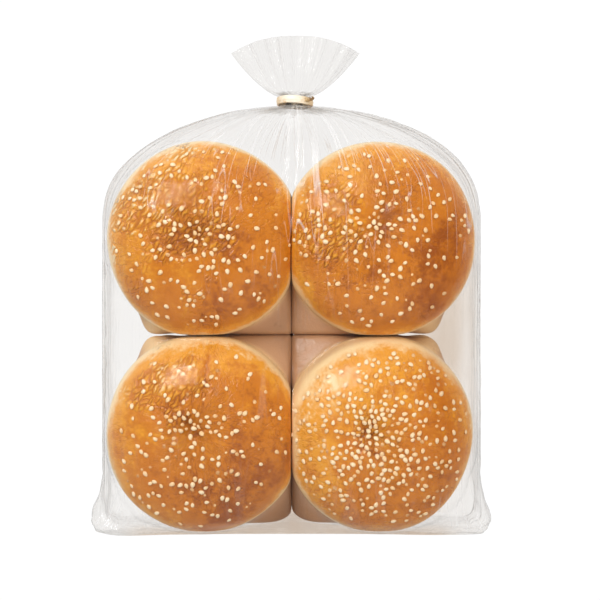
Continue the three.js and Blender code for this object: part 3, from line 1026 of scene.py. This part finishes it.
def makeTie(material):
    tie = tieShape
    bm, places = rolledGrid(150, 28)
    frontSheenLayer = bm.verts.layers.float.new("frontSheen")
    for vertex, (u, v) in zip(bm.verts, places):
        angle, section = 2 * math.pi * (u % 1), 2 * math.pi * (v % 1)
        vertex[frontSheenLayer] = bell(math.cos(angle) + 0.1, 0.75)  # painted highlight: paler on the front and back faces, darker at the ends where the band turns away
        c, s = math.cos(section), math.sin(section)
        square = (abs(c) ** 5 + abs(s) ** 5) ** -0.2
        z = tie["height"] / 2 * square * s
        out = tie["thickness"] / 2 * (1 + square * c)
        if c > 0:
            out += tie["wireRidge"] * bell(z, 0.55)
            out += tie["overlap"] * smooth(4 * math.cos(turn(-0.95, angle)) - 2.4)
        crush = 0.16 * noise.noise(Vector((4 * math.cos(angle), 4 * math.sin(angle), z / 2)))
        x = (tie["inside"][0] + out + crush) * math.cos(angle)
        y = (tie["inside"][1] + out + crush) * math.sin(angle)
        z += 0.12 * math.sin(3 * angle + 1) + math.tan(tie["tilt"]) * x
        vertex.co = (Vector((x, y, z)) + Vector(tie["middle"])) * mm
    weld(bm)

    forward = Vector((math.cos(tie["tailBearing"]), math.sin(tie["tailBearing"]), 0))
    aside = Vector((-forward.y, forward.x, 0))
    for number in (0, 1):
        strand = bmesh.ops.create_grid(bm, x_segments=12, y_segments=44, size=0.5)["verts"]
        for vertex in strand:
            around, t = 2 * math.pi * ((vertex.co.x + 0.5) % 1), vertex.co.y + 0.5
            closing = arch(2 * t - 1, 14)
            length = tie["tailLength"] * (1 if number else 0.88)
            twist = 2 * math.pi * tie["tailTurns"] * t
            # darker towards the tips of the twisted ends
            vertex[frontSheenLayer] = 0.1 - 0.8 * t
            across = closing * tie["strand"][1] * math.cos(around)
            deep = closing * tie["strand"][0] * math.sin(around) + (0.45 if number else -0.45)
            toSide = deep * math.cos(twist) - across * math.sin(twist)
            up = deep * math.sin(twist) + across * math.cos(twist)
            start = Vector((*tie["tailStart"], -0.3)) + Vector(tie["middle"])
            vertex.co = (start + forward * length * t + aside * toSide + Vector((0, 0, up))) * mm
    weld(bm)
    bmesh.ops.recalc_face_normals(bm, faces=bm.faces[:])
    return finishPiece("twistTie", bm, material, "tie_paper", "tie")


# camera at the photo's angle: level, looking along +Y

photo = {
    "pixels": 600,
    "middle": (300, 300),
    "bagMiddle": 291.3,  # pixel column of the bag's middle
    "baseLine": 534,  # pixel row where the front of the base meets the ground
    "pixelSize": 0.548,  # mm per pixel in the plane of the front buns' rims
    "rimPlane": -20.0,  # where that plane is
    "basePlane": -27.0,
    "distance": 478.0,  # from the rims' plane to the camera
}


def addCamera():
    data = bpy.data.cameras.new("photoCamera")
    data.sensor_width = 36
    data.lens = 36 * photo["distance"] / (photo["pixels"] * photo["pixelSize"])
    data.clip_start = 0.01
    data.clip_end = 50
    camera = bpy.data.objects.new("photoCamera", data)
    aside = (photo["middle"][0] - photo["bagMiddle"]) * photo["pixelSize"]
    toBase = photo["distance"] - (photo["rimPlane"] - photo["basePlane"])
    height = (photo["baseLine"] - photo["middle"][1]) * photo["pixelSize"] * toBase / photo["distance"]
    camera.location = Vector((aside, photo["rimPlane"] - photo["distance"], height)) * mm
    camera.rotation_euler = (math.pi / 2, 0, 0)
    bpy.context.scene.collection.objects.link(camera)
    bpy.context.scene.camera = camera


# studio

studio = {
    "backdrop": 1.03,
    "front": 0.09,
    "behind": 1.0,
    "floor": 0.7,  # light that the white floor sends up
    "floorRadius": 450.0,
    "floorDrop": 0.3,  # under the base, so that the film doesn't lie in it
    "key": 5.2,  # watts
    "keyPlace": (-0.38, -0.70, 0.58),
    "keySize": (0.28, 0.32),
    "fill": 9.2,
    "fillPlace": (0.66, -1.0, 0.10),
    "fillSize": (0.8, 0.8),
    "target": (0, 0, 0.13),  # the middle of the bag, which both lights point at
}


def addArea(name, place, size, power):
    data = bpy.data.lights.new(name, "AREA")
    data.shape = "RECTANGLE"
    data.size, data.size_y = size
    data.energy = power
    light = bpy.data.objects.new(name, data)
    light.location = place
    toBag = Vector(studio["target"]) - Vector(place)
    light.rotation_euler = toBag.to_track_quat("-Z", "Y").to_euler()
    light.visible_camera = False
    bpy.context.scene.collection.objects.link(light)
    return light


def addFloor():  # as white as the backdrop to the camera, so that no edge shows
    material, nodes, links, output = newMaterial("whiteFloor")
    rays = nodes.new("ShaderNodeLightPath")
    glow = nodes.new("ShaderNodeEmission")
    seen = rays.outputs["Is Camera Ray"]
    strength = rangeOf(nodes, links, seen, 0, 1, studio["floor"], studio["backdrop"])
    links.new(strength, glow.inputs["Strength"])
    links.new(glow.outputs[0], output.inputs["Surface"])
    bm = bmesh.new()
    bmesh.ops.create_circle(bm, cap_ends=True, segments=96, radius=studio["floorRadius"] * mm)
    mesh = bpy.data.meshes.new("floor")
    bm.to_mesh(mesh)
    bm.free()
    mesh.materials.append(material)
    floor = bpy.data.objects.new("floor", mesh)
    floor.location.z = -studio["floorDrop"] * mm
    bpy.context.scene.collection.objects.link(floor)


def addStudio():
    world = bpy.data.worlds.new("studio")
    world.use_nodes = True
    nodes, links = world.node_tree.nodes, world.node_tree.links
    place = nodes.new("ShaderNodeTexCoord")  # bright behind and above the bag, dark in front of it
    turned = nodes.new("ShaderNodeVectorMath")
    turned.operation = "DOT_PRODUCT"
    turned.inputs[1].default_value = Vector((-0.15, 0.8, 0.58)).normalized()
    links.new(place.outputs["Generated"], turned.inputs[0])
    light = rangeOf(nodes, links, turned.outputs["Value"], -0.45, 0.25, studio["front"], studio["behind"])
    lighting = nodes["Background"]
    links.new(light, lighting.inputs["Strength"])
    lighting.inputs["Color"].default_value = (1, 1, 1, 1)
    backdrop = nodes.new("ShaderNodeBackground")  # plain white wherever the camera looks past the bag
    backdrop.inputs["Color"].default_value = (1, 1, 1, 1)
    backdrop.inputs["Strength"].default_value = studio["backdrop"]
    rays = nodes.new("ShaderNodeLightPath")
    seen = rays.outputs["Is Camera Ray"]
    both = mixShaders(nodes, links, seen, lighting.outputs[0], backdrop.outputs[0])
    links.new(both, nodes["World Output"].inputs["Surface"])
    bpy.context.scene.world = world
    addArea("keyLight", studio["keyPlace"], studio["keySize"], studio["key"])
    fill = addArea("fillLight", studio["fillPlace"], studio["fillSize"], studio["fill"])
    fill.visible_glossy = False  # it only lifts the shade, and doesn't shine in the film

    scene = bpy.context.scene
    scene.view_settings.view_transform = "Standard"
    scene.cycles.transparent_max_bounces = 32


def build():
    addCamera()
    addStudio()
    addFloor()
    crust = crustMaterial()
    seedSkin = seedMaterial()
    seedMesh = bmesh.new()
    seedMesh.verts.layers.float.new("tone")
    surfaces = []
    for number, (name, bun) in enumerate(buns.items()):
        surface = makeBun(name, bun, number, crust)
        addSeeds(seedMesh, bun, surface, number)
        surfaces.append(surface)
        print("bun", name, round(time.perf_counter() - started, 1))
    finishPiece("sesameSeeds", seedMesh, seedSkin, "sesame", "bag")
    clearFilm = filmMaterial()
    addWall(makeFilmBody(clearFilm, surfaces))
    addWall(makeFilmFan(clearFilm))
    addWall(makeGathers(clearFilm))
    print("film", round(time.perf_counter() - started, 1))
    makeTie(tieMaterial())


build()
